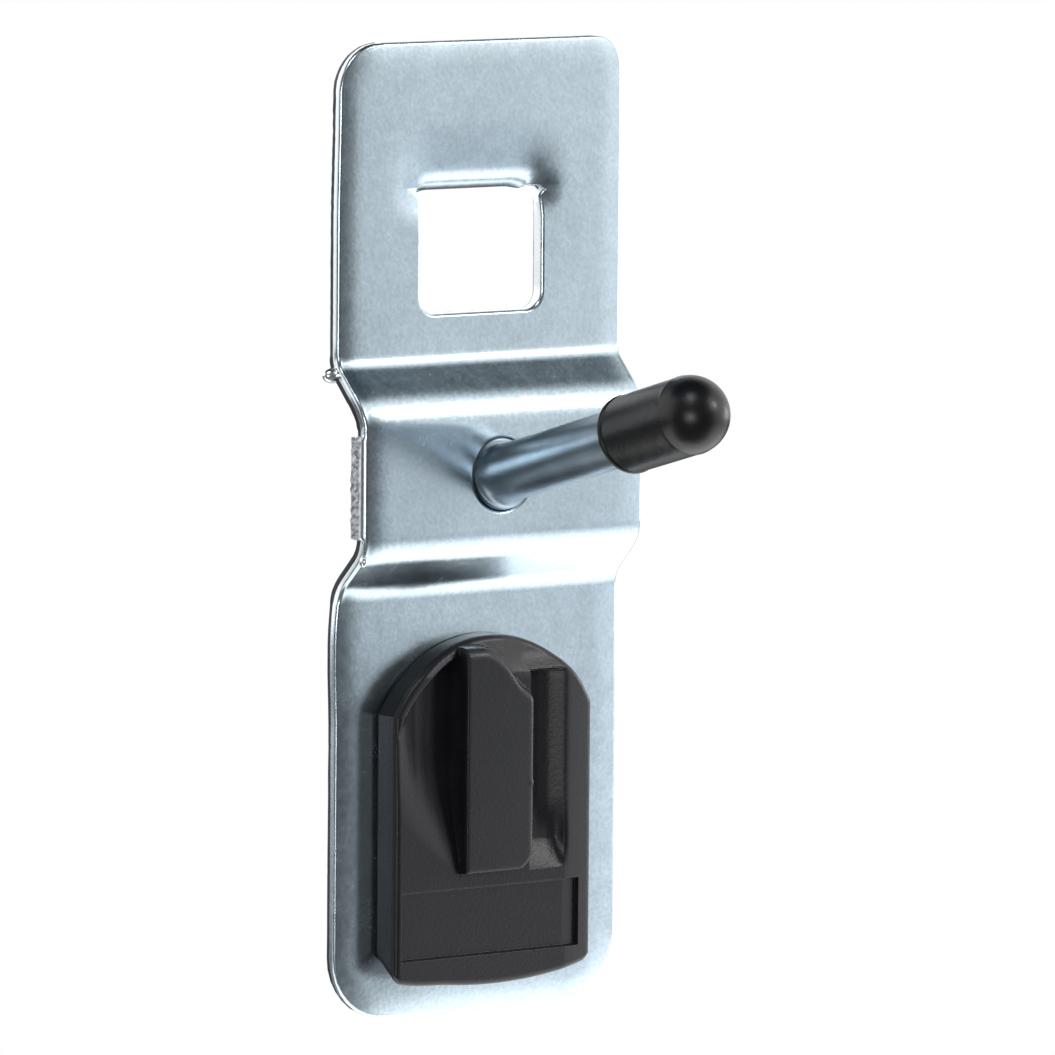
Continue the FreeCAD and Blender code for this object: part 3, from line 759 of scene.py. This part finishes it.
def bar(outline, a, b, axis):
    """A closed bar: an outline of points carried from a to b along one axis, with flat ends whose
    middle is the outline's mean."""
    o = np.asarray(outline, float)
    o = np.concatenate([o, o[:1]])
    m = o[:-1].mean(0)
    rings = []
    for value, shrink in ((a, 0.0), (a, 1.0), (b, 1.0), (b, 0.0)):
        p = m + (o - m) * shrink
        rings.append(np.insert(p, axis, value, axis=1))
    v = np.stack(rings)
    return v.reshape(-1, 3), grid(4, len(o))


def sleeve(path, inner, low, high):
    """A closed wall carried along a path of (x, z) points: its section runs from the path to the
    matching inner points and from low to high, with its two rear edges rounded."""
    share = np.array([0.0, 0.0, 0.03, 0.1, 0.9, 0.97, 1.0, 1.0, 0.0])
    y = np.array([low, high - 0.15, high - 0.04, high, high, high - 0.04, high - 0.15, low, low])
    flat = path[:, None] * (1 - share)[None, :, None] + inner[:, None] * share[None, :, None]
    v = np.stack([flat[..., 0], np.repeat(y[None], len(path), 0), flat[..., 1]], 2)
    ends = [np.repeat(v[[k]].mean(1, keepdims=True), len(share), 1) for k in (0, -1)]
    v = np.concatenate([ends[0], v, ends[1]], 0)
    return v.reshape(-1, 3), grid(v.shape[0], v.shape[1])


SHANK = 4.55               # half width of the square shank
SHANK_WALL = 1.4
SHANK_R = 0.6              # rounding of its corners
SHANK_END = 6.2            # how far it stands out behind the plate
SLOT = 2.6                 # half width of the slots for its spring arms
SLOT_GAP = 0.35            # gap beside an arm
BARB = 0.75                # how far an arm's barb stands out


def shank_mesh():
    """Behind the plate: a square floor, two walls with short returns at their ends, and between
    them, past a slot on either side, two spring arms with barbs."""
    s, r, end = SHANK, SHANK_R, SHANK_END
    w = s - SHANK_WALL
    t = quarter(7)
    arc = np.stack([s - r + r * np.cos(t), s - r + r * np.sin(t)], 1)
    corners = [arc, (arc * [-1, 1])[::-1], -arc, (arc * [1, -1])[::-1]]
    parts = [bar(np.concatenate(corners) + [0, CLIP_Z], -1.05, 0.6, 1)]
    slot, arm_half = SLOT + SLOT_GAP, SLOT - SLOT_GAP
    half = np.concatenate([[[s, slot]], arc, (arc * [-1, 1])[::-1], [[-s, slot]]])
    held = np.stack([np.clip(half[:, 0], -w, w), np.minimum(half[:, 1], w)], 1)
    for up in (-1, 1):
        parts.append(sleeve(half * [1, up] + [0, CLIP_Z], held * [1, up] + [0, CLIP_Z], 0.45, end))
    arm = np.array([(w, 0.5), (s, 0.5), (s, 2.6), (s + BARB, 3.6), (s + BARB, 4.1),
                    (s - 0.2, end), (w, end)])
    for side in (-1, 1):
        parts.append(bar(arm * [side, 1], CLIP_Z - arm_half, CLIP_Z + arm_half, 2))
    return joined(*parts)


# materials

def linear(code):
    """sRGB hex colour as linear red, green, blue and alpha."""
    c = np.array([int(code[i:i + 2], 16) for i in (1, 3, 5)]) / 255
    c = np.where(c <= 0.04045, c / 12.92, ((c + 0.055) / 1.055) ** 2.4)
    return (*c.tolist(), 1.0)


def shade(colour, share):
    """A linear colour made darker or lighter by a share."""
    return (*[share * k for k in colour[:3]], 1.0)


def add(tree, kind, settings=None, inputs=None):
    """Adds a shader node. Settings are its properties, or the stops of its colour ramp. Inputs are
    socket values, sockets to link from, or nodes, whose first live output is linked."""
    node = tree.nodes.new("ShaderNode" + kind)
    for key, value in (settings or {}).items():
        if key != "stops":
            setattr(node, key, value)
            continue
        elements = node.color_ramp.elements
        elements[0].position, elements[0].color = value[0]
        elements[1].position, elements[1].color = value[-1]
        for place, colour in value[1:-1]:
            elements.new(place).color = colour
    for key, value in (inputs or {}).items():
        if isinstance(value, bpy.types.Node):
            value = next(k for k in value.outputs if k.enabled)
        if isinstance(value, bpy.types.NodeSocket):
            tree.links.new(value, node.inputs[key])
        else:
            node.inputs[key].default_value = value
    return node


def new_material(name):
    mat = bpy.data.materials.new(name)
    mat.use_nodes = True
    mat.node_tree.nodes.clear()
    return mat, mat.node_tree


PER_MM = 1000.0            # a pattern's scale counts its features along one metre
MIX = {"data_type": "RGBA"}
SOFT = {"interpolation_type": "SMOOTHSTEP"}


def zinc_plate(colour):
    """Bright zinc plating with a blue passivation on cold-rolled sheet: a pale blue metal, satin
    rather than mirror-like, with a faint mottle a millimetre wide and a finer grain. Cut edges are
    bright where the punch burnished them and dull grey where the metal tore; the sheared strip is
    white, smooth in front and speckled behind. The marks "cut" and "sheared" come with the mesh."""
    mat, tree = new_material("Blue Zinc Plating")
    place = add(tree, "TexCoord").outputs["Object"]
    cloud = add(tree, "TexNoise", inputs={
        "Vector": place, "Scale": 0.8 * PER_MM, "Detail": 4.0, "Roughness": 0.62})
    speck = add(tree, "TexNoise", inputs={
        "Vector": place, "Scale": 3.2 * PER_MM, "Detail": 3.0, "Roughness": 0.6})
    tint = add(tree, "ValToRGB", {"stops": [
        (0.32, shade(colour, 0.93)), (0.68, shade(colour, 1.06))]}, {"Fac": cloud})
    fine = add(tree, "ValToRGB", {"stops": [(0.32, linear("#F1F2F3")), (0.68, linear("#FFFFFF"))]},
               {"Fac": speck})
    face = add(tree, "Mix", {"data_type": "RGBA", "blend_type": "MULTIPLY"}, {
        "Factor": 1.0, "A": tint, "B": fine})

    cut = add(tree, "Attribute", {"attribute_name": "cut"}).outputs["Fac"]
    sheared = add(tree, "Attribute", {"attribute_name": "sheared"}).outputs["Fac"]
    shine = add(tree, "MapRange", inputs={"Value": cut, "From Max": 0.5})
    torn = add(tree, "MapRange", inputs={"Value": cut, "From Min": 0.5})
    strip = add(tree, "MapRange", inputs={"Value": sheared, "From Max": 0.5})
    rough_strip = add(tree, "MapRange", inputs={"Value": sheared, "From Min": 0.5})
    burnished = add(tree, "Mix", MIX, {"Factor": shine, "A": face, "B": linear("#EEF2F5")})
    edge = add(tree, "Mix", MIX, {"Factor": torn, "A": burnished, "B": linear("#4A4F55")})
    grit = add(tree, "ValToRGB", {"stops": [(0.40, linear("#8F949C")), (0.52, linear("#D9DCE2"))]},
               {"Fac": speck})
    white = add(tree, "Mix", MIX, {"Factor": rough_strip, "A": linear("#F4F6F8"), "B": grit})
    coat = add(tree, "Mix", MIX, {"Factor": strip, "A": edge, "B": white})

    gloss = add(tree, "MapRange", inputs={
        "Value": cloud, "From Min": 0.3, "From Max": 0.7, "To Min": 0.24, "To Max": 0.28})
    dull = add(tree, "Math", {"operation": "MAXIMUM"}, {0: torn, 1: rough_strip})
    rough = add(tree, "Math", {"operation": "MULTIPLY_ADD"}, {0: dull, 1: 0.28, 2: gloss})
    relief = add(tree, "Bump", inputs={"Strength": 0.02, "Distance": 0.0004, "Height": speck})
    shader = add(tree, "BsdfPrincipled", inputs={
        "Base Color": coat, "Metallic": 1.0, "Roughness": rough, "Normal": relief})
    add(tree, "OutputMaterial", inputs={"Surface": shader})
    return mat


def zinc_rod(colour):
    """Bright zinc plating on drawn rod: smoother than the sheet, with faint lengthwise drawing
    lines, and painted shade in the staked ring round its root, which the mesh marks."""
    mat, tree = new_material("Zinc Plated Drawn Rod")
    place = add(tree, "TexCoord").outputs["Object"]
    turned = add(tree, "Mapping", inputs={
        "Vector": place, "Rotation": (math.radians(15.5), 0, 0), "Scale": (1.0, 0.06, 1.0)})
    lines = add(tree, "TexNoise", inputs={
        "Vector": turned, "Scale": 2.6 * PER_MM, "Detail": 3.0, "Roughness": 0.55})
    cloud = add(tree, "TexNoise", inputs={
        "Vector": place, "Scale": 0.42 * PER_MM, "Detail": 4.0, "Roughness": 0.55})
    tint = add(tree, "ValToRGB", {"stops": [
        (0.32, shade(colour, 0.86)), (0.68, shade(colour, 1.15))]}, {"Fac": cloud})
    groove = add(tree, "Attribute", {"attribute_name": "groove"}).outputs["Fac"]
    # painted shade: the marked ring round the root is mixed towards dark grey
    coat = add(tree, "Mix", MIX, {"Factor": groove, "A": tint, "B": linear("#3A4046")})
    relief = add(tree, "Bump", inputs={"Strength": 0.05, "Distance": 0.0003, "Height": lines})
    shader = add(tree, "BsdfPrincipled", inputs={
        "Base Color": coat, "Metallic": 1.0, "Roughness": 0.33, "Normal": relief})
    add(tree, "OutputMaterial", inputs={"Surface": shader})
    return mat


def vinyl(colour):
    """Dip-moulded soft vinyl: deep black, semi-gloss, with a faint orange-peel skin."""
    mat, tree = new_material("Dip-moulded Vinyl")
    place = add(tree, "TexCoord").outputs["Object"]
    skin = add(tree, "TexNoise", inputs={
        "Vector": place, "Scale": 0.9 * PER_MM, "Detail": 2.0, "Roughness": 0.55})
    tint = add(tree, "ValToRGB", {"stops": [(0.3, shade(colour, 0.8)), (0.7, shade(colour, 1.3))]},
               {"Fac": skin})
    relief = add(tree, "Bump", inputs={"Strength": 0.12, "Distance": 0.0003, "Height": skin})
    shader = add(tree, "BsdfPrincipled", inputs={
        "Base Color": tint, "Roughness": 0.34, "IOR": 1.48, "Normal": relief})
    add(tree, "OutputMaterial", inputs={"Surface": shader})
    return mat


def nylon(colour):
    """Moulded nylon from a spark-eroded tool: bluish black with a matt, sandy grain. The real grain
    is finer than a pixel, so it is drawn a quarter of a millimetre wide."""
    mat, tree = new_material("Spark-eroded Moulded Nylon")
    place = add(tree, "TexCoord").outputs["Object"]
    sand = add(tree, "TexNoise", inputs={
        "Vector": place, "Scale": 4.2 * PER_MM, "Detail": 2.0, "Roughness": 0.6})
    patch = add(tree, "TexNoise", inputs={
        "Vector": place, "Scale": 0.42 * PER_MM, "Detail": 3.0, "Roughness": 0.55})
    tint = add(tree, "ValToRGB", {"stops": [(0.3, shade(colour, 0.8)), (0.7, shade(colour, 1.25))]},
               {"Fac": patch})
    rough = add(tree, "MapRange", inputs={
        "Value": sand, "From Min": 0.3, "From Max": 0.7, "To Min": 0.35, "To Max": 0.39})
    relief = add(tree, "Bump", inputs={"Strength": 0.06, "Distance": 0.0003, "Height": sand})
    shader = add(tree, "BsdfPrincipled", inputs={
        "Base Color": tint, "Roughness": rough, "IOR": 1.45, "Normal": relief})
    add(tree, "OutputMaterial", inputs={"Surface": shader})
    return mat


def surroundings(tree, way):
    """What the metal sees in a direction: a bright studio with a dark ceiling, a grey band just
    below level, a bright table below, and a dark patch in front of the part on the left."""
    part = add(tree, "SeparateXYZ", inputs={"Vector": way}).outputs
    height = add(tree, "MapRange", inputs={"Value": part["Z"], "From Min": -1.0, "From Max": 1.0})
    # a stop is half of one plus the sine of the elevation
    sky = add(tree, "ValToRGB", {"stops": [
        (0.0, linear("#FFFFFF")), (0.36, linear("#FFFFFF")), (0.405, linear("#C6CFD8")),
        (0.43, linear("#CCD4DC")), (0.458, linear("#FFFFFF")), (0.83, linear("#FFFFFF")),
        (0.88, linear("#22323A")), (1.0, linear("#1A2A32"))]}, {"Fac": height})
    toward = add(tree, "VectorMath", {"operation": "DOT_PRODUCT"}, {
        0: way, 1: (-0.5, -0.866, 0.0)}).outputs["Value"]
    patch = add(tree, "MapRange", SOFT, {
        "Value": toward, "From Min": 0.35, "From Max": 0.56, "To Min": 1.25, "To Max": 0.12})
    table = add(tree, "MapRange", SOFT, {
        "Value": part["Z"], "From Min": -0.50, "From Max": -0.2, "To Min": 1.7, "To Max": 1.0})
    level = add(tree, "Math", {"operation": "MULTIPLY"}, {0: patch, 1: table})
    return add(tree, "VectorMath", {"operation": "SCALE"}, {0: sky, "Scale": level})


def pale_floor():
    """Matt white floor: plain white to the camera, glowing with the surroundings' own table in
    reflections, with painted shade there behind the part, and lit as it is otherwise."""
    mat, tree = new_material("Matt White Floor")
    matt = add(tree, "BsdfDiffuse", inputs={"Color": linear("#F2F2F2")})
    place = add(tree, "TexCoord").outputs["Object"]
    way = add(tree, "VectorMath", {"operation": "NORMALIZE"}, {0: place})
    deep = add(tree, "SeparateXYZ", inputs={"Vector": place}).outputs["Y"]
    # painted shade: in reflections the floor behind the part is dimmed to a tenth
    painted_shade_behind = add(tree, "MapRange", SOFT, {
        "Value": deep, "From Min": 0.015, "From Max": 0.055, "To Min": 1.0, "To Max": 0.1})
    seen = add(tree, "VectorMath", {"operation": "SCALE"}, {
        0: surroundings(tree, way), "Scale": painted_shade_behind})
    path = add(tree, "LightPath").outputs
    colour = add(tree, "Mix", MIX, {"Factor": path["Is Camera Ray"], "A": seen, "B": (1, 1, 1, 1)})
    plain = add(tree, "Emission", inputs={"Color": colour, "Strength": 1.0})
    direct = add(tree, "Math", {"operation": "MAXIMUM"}, {
        0: path["Is Camera Ray"], 1: path["Is Glossy Ray"]})
    shown = add(tree, "MixShader", inputs={0: direct, 1: matt, 2: plain})
    add(tree, "OutputMaterial", inputs={"Surface": shown})
    return mat


# settings

def length(name, value, text):
    """A length setting whose default is given in millimetres; Blender keeps it in metres."""
    return bpy.props.FloatProperty(name=name, default=value / 1000, description=text, min=0.0,
                                   unit="LENGTH", subtype="DISTANCE", precision=5)


def angle(name, value, text):
    """An angle setting whose default is given in degrees; Blender keeps it in radians."""
    return bpy.props.FloatProperty(name=name, default=math.radians(value), description=text,
                                   unit="ROTATION", subtype="ANGLE")


def colour(name, code, text):
    return bpy.props.FloatVectorProperty(name=name, default=linear(code)[:3], description=text,
                                         subtype="COLOR", size=3, min=0.0, max=1.0)


class HookSizes(bpy.types.PropertyGroup):
    width: length("Plate Width", 24.0, "Width of the plate")
    height: length("Plate Height", 66.6, "Height of the plate")
    corner_top: length("Top Corner Radius", 2.6, "Radius of the plate's top corners")
    corner_low: length("Low Corner Radius", 4.3, "Radius of the plate's bottom corners")
    neck: length("Neck", 0.38, "How far the band's left side is drawn in")
    strip: length("Sheared Strip", 0.56, "How far the sheared strip stands out at the back")
    edge_roll: length("Edge Roll", 0.26, "Radius of the soft front edge")
    peg: length("Peg Diameter", 4.0, "Diameter of the peg")
    peg_end: length("Peg Length", 21.6, "Length of the peg from the plate")
    cap: length("Cap Diameter", 5.36, "Diameter of the end cap")
    cap_start: length("Cap Start", 14.4, "Where the cap begins along the peg")
    cap_dome: length("Cap Dome", 21.35, "Centre of the cap's round end along the peg")
    rise: angle("Peg Rise", 15.5, "Angle of the peg above level")


class HookColours(bpy.types.PropertyGroup):
    plate: colour("Plate Zinc", "#C6D6DF", "Middle tint of the plate's zinc plating")
    peg: colour("Peg Zinc", "#95A3AE", "Middle tint of the peg's zinc plating")
    cap: colour("Cap Vinyl", "#0A0A0C", "Middle tint of the end cap's vinyl")
    clip: colour("Clip Nylon", "#111117", "Middle tint of the lock clip's nylon")


class StageSettings(bpy.types.PropertyGroup):
    azimuth: angle("Azimuth", 37.0, "Camera angle to the left of the plate's front")
    elevation: angle("Elevation", 6.0, "Camera angle above level")
    light: bpy.props.FloatProperty(name="Light", default=1.0, min=0.0, soft_max=4.0,
                                   subtype="FACTOR", description="Strength of the lamps")


def in_mm(sizes):
    """The sizes with every length in millimetres and the angle in radians."""
    keys = sizes.bl_rna.properties.keys()
    scale = {k: 1.0 if k == "rise" else 1000.0 for k in keys if k not in ("rna_type", "name")}
    return SimpleNamespace(**{k: getattr(sizes, k) * v for k, v in scale.items()})


# operators

class HOOK_OT_plate(bpy.types.Operator):
    """Build the stamped plate with its tongue"""
    bl_idname = "hook.plate"
    bl_label = "Plate"

    def execute(self, context):
        verts, faces, cut, sheared = plate_mesh(in_mm(context.scene.hook_sizes))
        lumps, lump_faces = lumps_mesh()
        verts, faces = joined((verts, faces), (lumps, lump_faces))
        # the lumps take the burnished colour of the cut mark, a painted highlight for their shine
        bright, none = np.full(len(lumps), 0.5), np.zeros(len(lumps))
        marks = {"cut": np.concatenate([cut, bright]), "sheared": np.concatenate([sheared, none])}
        material = zinc_plate(context.scene.hook_colours.plate)
        obj = put("stamped_plate", verts, faces, material, attributes=marks, sharp=50)
        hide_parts("back_plate")
        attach(obj, "hook")
        return {"FINISHED"}


class HOOK_OT_peg(bpy.types.Operator):
    """Build the peg with its collar and formed head"""
    bl_idname = "hook.peg"
    bl_label = "Peg"

    def execute(self, context):
        verts, faces, groove = peg_mesh(in_mm(context.scene.hook_sizes))
        material = zinc_rod(context.scene.hook_colours.peg)
        obj = put("peg_rod", verts, faces, material, attributes={"groove": groove}, sharp=40)
        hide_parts("peg")
        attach(obj, "hook")
        return {"FINISHED"}


class HOOK_OT_cap(bpy.types.Operator):
    """Build the soft end cap"""
    bl_idname = "hook.cap"
    bl_label = "End Cap"

    def execute(self, context):
        verts, faces = cap_mesh(in_mm(context.scene.hook_sizes))
        obj = put("vinyl_cap", verts, faces, vinyl(context.scene.hook_colours.cap), sharp=50)
        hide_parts("end_cap")
        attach(obj, "hook")
        return {"FINISHED"}


class HOOK_OT_clip(bpy.types.Operator):
    """Build the moulded lock clip and its shank"""
    bl_idname = "hook.clip"
    bl_label = "Lock Clip"

    def execute(self, context):
        material = nylon(context.scene.hook_colours.clip)
        verts, faces = clip_mesh()
        body = put("clip_body", verts, faces, material, sharp=55)
        verts, faces = shank_mesh()
        shank = put("clip_shank", verts, faces, material, sharp=30)
        bevel = shank.modifiers.new("Edges", "BEVEL")
        bevel.width = 0.00012
        bevel.segments = 2
        bevel.limit_method = "ANGLE"
        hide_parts("lock_clip")
        for obj in (body, shank):
            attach(obj, "lock")
        return {"FINISHED"}


def aim(location, target, roll=0.0):
    """Matrix of an object at location whose -Z looks at target, turned by roll about that axis."""
    back = (Vector(location) - Vector(target)).normalized()
    right = Vector((0, 0, 1)).cross(back).normalized()
    up = back.cross(right)
    turn = Matrix((right, up, back)).transposed().to_4x4()
    return Matrix.Translation(location) @ turn @ Matrix.Rotation(roll, 4, "Z")


def soft_lamp(name, location, target, size, power):
    """A white rectangular lamp that faces the target."""
    data = bpy.data.lights.new(name, "AREA")
    data.shape = "RECTANGLE"
    data.size, data.size_y = size
    data.energy = power
    lamp = bpy.data.objects.new(name, data)
    lamp.matrix_world = aim(location, target)
    bpy.context.scene.collection.objects.link(lamp)


def studio(scene):
    """World: what surroundings() gives to the metal and plain white to the camera."""
    world = bpy.data.worlds.new("Studio")
    scene.world = world
    world.use_nodes = True
    tree = world.node_tree
    tree.nodes.clear()
    way = add(tree, "TexCoord").outputs["Generated"]
    path = add(tree, "LightPath").outputs["Is Camera Ray"]
    shown = add(tree, "Mix", MIX, {"Factor": path, "A": surroundings(tree, way), "B": (1, 1, 1, 1)})
    ground = add(tree, "Background", inputs={"Color": shown, "Strength": 1.0})
    add(tree, "OutputWorld", inputs={"Surface": ground})


FLOOR_AT, FLOOR_HALF = -0.055, 0.45     # metres
MIDDLE = (0.0, 0.0, 0.009)              # the plate's middle, in metres
LAMPS = (                               # place and size in metres, power in watts
    ("Key", (0.60, -0.68, 0.42), (0.20, 0.16), 1.9),
    ("Top", (-0.35, -0.45, 0.82), (0.35, 0.35), 2.0),
    ("Front", (-0.68, -0.88, 0.01), (0.30, 0.26), 2.2),
    ("Side", (0.98, -0.10, 0.02), (0.25, 0.25), 1.2))
PICTURE = 1055                          # side of the picture, in pixels
MIDDLE_AT = (469.5, 524.9)              # where the plate's middle lies in it
FOCUS = 10317.0                         # focal length, in pixels
SCALE = 14.6                            # pixels to a millimetre at the plate's middle
ROLL = 0.45                             # degrees
SENSOR = 36.0


class HOOK_OT_stage(bpy.types.Operator):
    """Build the floor, the lamps, the world and the camera"""
    bl_idname = "hook.stage"
    bl_label = "Stage"

    def execute(self, context):
        scene = context.scene
        settings = scene.hook_stage
        mesh = bpy.data.meshes.new("floor")
        turns = ((-1, -1), (1, -1), (1, 1), (-1, 1))
        corners = [(x * FLOOR_HALF, y * FLOOR_HALF, FLOOR_AT) for x, y in turns]
        mesh.from_pydata(corners, [], [(0, 1, 2, 3)])
        floor = bpy.data.objects.new("floor", mesh)
        mesh.materials.append(pale_floor())
        scene.collection.objects.link(floor)
        studio(scene)
        for name, place, size, power in LAMPS:
            soft_lamp(name, place, MIDDLE, size, power * settings.light)

        a, e = settings.azimuth, settings.elevation
        away = np.array([-math.sin(a) * math.cos(e), -math.cos(a) * math.cos(e), math.sin(e)])
        spot = np.array(MIDDLE) + away * FOCUS / SCALE / 1000
        data = bpy.data.cameras.new("Camera")
        data.sensor_width = SENSOR
        data.lens = SENSOR * FOCUS / PICTURE
        data.shift_x = (PICTURE / 2 - MIDDLE_AT[0]) / PICTURE
        data.shift_y = (MIDDLE_AT[1] - PICTURE / 2) / PICTURE
        camera = bpy.data.objects.new("Camera", data)
        camera.matrix_world = aim(spot.tolist(), MIDDLE, math.radians(ROLL))
        scene.collection.objects.link(camera)
        scene.camera = camera
        scene.view_settings.view_transform = "Standard"
        return {"FINISHED"}


class HOOK_PT_panel(bpy.types.Panel):
    bl_label = "Pegboard Hook"
    bl_idname = "HOOK_PT_panel"
    bl_space_type = "VIEW_3D"
    bl_region_type = "UI"
    bl_category = "Hook"

    def draw(self, context):
        scene = context.scene
        for group in (scene.hook_sizes, scene.hook_colours, scene.hook_stage):
            for key in group.__annotations__:
                self.layout.prop(group, key)
        for op in OPERATORS:
            self.layout.operator(op.bl_idname)


OPERATORS = (HOOK_OT_plate, HOOK_OT_peg, HOOK_OT_cap, HOOK_OT_clip, HOOK_OT_stage)
CLASSES = (HookSizes, HookColours, StageSettings) + OPERATORS + (HOOK_PT_panel,)


def register():
    for cls in CLASSES:
        bpy.utils.register_class(cls)
    bpy.types.Scene.hook_sizes = bpy.props.PointerProperty(type=HookSizes)
    bpy.types.Scene.hook_colours = bpy.props.PointerProperty(type=HookColours)
    bpy.types.Scene.hook_stage = bpy.props.PointerProperty(type=StageSettings)


def unregister():
    del bpy.types.Scene.hook_stage
    del bpy.types.Scene.hook_colours
    del bpy.types.Scene.hook_sizes
    for cls in reversed(CLASSES):
        bpy.utils.unregister_class(cls)


def main():
    register()
    bpy.ops.hook.plate()
    bpy.ops.hook.peg()
    bpy.ops.hook.cap()
    bpy.ops.hook.clip()
    bpy.ops.hook.stage()


if __name__ == "__main__":
    main()
